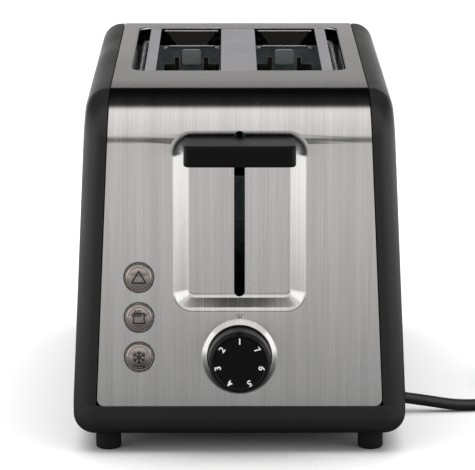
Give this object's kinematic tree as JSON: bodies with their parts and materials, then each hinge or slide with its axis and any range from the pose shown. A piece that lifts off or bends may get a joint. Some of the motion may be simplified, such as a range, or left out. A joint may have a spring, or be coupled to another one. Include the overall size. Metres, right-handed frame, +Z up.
{
  "type": "pop up toaster",
  "caption": "Pop-up toaster with lengthways slots, a brushed steel wrap between black plastic sides, a front lever in a pressed pan, push buttons and a browning knob.",
  "frame": {"origin": "on the table, at the middle of the toaster's own footprint box", "axes": "+X to the user's right at the lever end, +Y to the rear, +Z up"},
  "size_m": [0.307, 0.3112, 0.178],
  "materials": {
    "brushed_steel": "vertical brushed grain",
    "side_plastic": "satin black",
    "base_plastic": "fine matte black",
    "rubber_foot": "matte black rubber",
    "control_plastic": "satin black",
    "smoked_chrome": "polished, smoke tinted",
    "galvanised": "galvanised sheet",
    "aluminised": "matte aluminised sheet",
    "spring_steel": "bright drawn wire",
    "mica": "speckled mica",
    "nichrome": "heat dulled ribbon",
    "circuit_board": "solder mask",
    "board_part": "moulded parts",
    "copper_coil": "enamelled copper winding",
    "nylon": "natural nylon",
    "zinc_screw": "zinc plate",
    "cord_sheath": "black flexible sheath",
    "plug_brass": "plated blades"
  },
  "bodies": {
    "housing": {"base_screws": "zinc_screw", "base_tub": "base_plastic", "board_parts": "board_part", "bread_guide_front": "aluminised", "bread_guide_rear": "aluminised", "button_guide": "nylon", "centre_bridge": "aluminised", "control_board": "circuit_board", "cord_coil": "cord_sheath", "cord_tail": "cord_sheath", "cord_tube": "cord_sheath", "foot_front_left": "rubber_foot", "foot_front_right": "rubber_foot", "foot_rear_left": "rubber_foot", "foot_rear_right": "rubber_foot", "front_plate": "galvanised", "guide_rod": "spring_steel", "heater_rail_left": "aluminised", "heater_rail_right": "aluminised", "heater_wires": "nichrome", "lift_spring": "spring_steel", "lower_shelf": "galvanised", "magnet_coil": "copper_coil", "magnet_core": "galvanised", "mica_card_left_inner": "mica", "mica_card_left_outer": "mica", "mica_card_right_inner": "mica", "mica_card_right_outer": "mica", "plug_blades": "plug_brass", "plug_body": "cord_sheath", "potentiometer": "board_part", "rear_plate": "galvanised", "reflector_left": "aluminised", "reflector_right": "aluminised", "side_panel_left": "side_plastic", "side_panel_right": "side_plastic", "steel_wrap": "brushed_steel", "strain_relief": "cord_sheath", "terminal_block": "board_part", "tie_rods": "spring_steel", "tray_rails": "galvanised", "upper_shelf": "galvanised"},
    "carriage": {"lever_handle": "control_plastic", "lever_arm": "galvanised", "carriage_plate": "galvanised", "carriage_bush": "nylon", "armature_plate": "galvanised", "bread_rack_left": "spring_steel", "bread_rack_right": "spring_steel"},
    "knob": {"browning_knob": "control_plastic", "knob_shaft": "spring_steel"},
    "cancel_button": {"button_cancel": "smoked_chrome"},
    "reheat_button": {"button_reheat": "smoked_chrome"},
    "defrost_button": {"button_defrost": "smoked_chrome"},
    "tray": {"crumb_tray": "galvanised", "tray_grip": "base_plastic"},
    "guard_left_outer_body": {"guard_left_outer": "spring_steel"},
    "guard_left_inner_body": {"guard_left_inner": "spring_steel"},
    "guard_right_inner_body": {"guard_right_inner": "spring_steel"},
    "guard_right_outer_body": {"guard_right_outer": "spring_steel"}
  },
  "joints": [
    {"name": "lever_slide", "type": "slide", "parent": "housing", "child": "carriage", "axis": [0, 0, -1], "range_m": [0, 0.064], "stiffness_N_per_m": 60, "springref_m": -0.03, "deforming": ["lift_spring"]},
    {"name": "knob_turn", "type": "hinge", "parent": "housing", "child": "knob", "pos_m": [0, -0.13505, 0.0498], "axis": [0, 0.9986, -0.0523], "range_deg": [0, 308.6]},
    {"name": "cancel_press", "type": "slide", "parent": "housing", "child": "cancel_button", "axis": [0, 0.9986, -0.0523], "range_m": [0, 0.0025], "stiffness_N_per_m": 400, "springref_m": -0.0005},
    {"name": "reheat_press", "type": "slide", "parent": "housing", "child": "reheat_button", "axis": [0, 0.9986, -0.0523], "range_m": [0, 0.0025], "stiffness_N_per_m": 400, "springref_m": -0.0005},
    {"name": "defrost_press", "type": "slide", "parent": "housing", "child": "defrost_button", "axis": [0, 0.9986, -0.0523], "range_m": [0, 0.0025], "stiffness_N_per_m": 400, "springref_m": -0.0005},
    {"name": "tray_slide", "type": "slide", "parent": "housing", "child": "tray", "axis": [0, 1, 0], "range_m": [0, 0.2]},
    {"name": "guard_left_outer_tilt", "type": "hinge", "parent": "housing", "child": "guard_left_outer_body", "pos_m": [-0.0413, 0.02315, 0.044], "axis": [0, 1, 0], "range_deg": [0, 4.2]},
    {"name": "guard_left_inner_tilt", "type": "hinge", "parent": "housing", "child": "guard_left_inner_body", "pos_m": [-0.0105, 0.02315, 0.044], "axis": [0, 1, 0], "range_deg": [-4.2, 0]},
    {"name": "guard_right_inner_tilt", "type": "hinge", "parent": "housing", "child": "guard_right_inner_body", "pos_m": [0.0105, 0.02315, 0.044], "axis": [0, 1, 0], "range_deg": [0, 4.2]},
    {"name": "guard_right_outer_tilt", "type": "hinge", "parent": "housing", "child": "guard_right_outer_body", "pos_m": [0.0413, 0.02315, 0.044], "axis": [0, 1, 0], "range_deg": [-4.2, 0]}
  ],
  "couplings": [
    {"joint": "guard_left_outer_tilt", "follows": "lever_slide", "rad_per_m": 1.0908},
    {"joint": "guard_left_inner_tilt", "follows": "lever_slide", "rad_per_m": -1.0908},
    {"joint": "guard_right_inner_tilt", "follows": "lever_slide", "rad_per_m": 1.0908},
    {"joint": "guard_right_outer_tilt", "follows": "lever_slide", "rad_per_m": -1.0908}
  ]
}
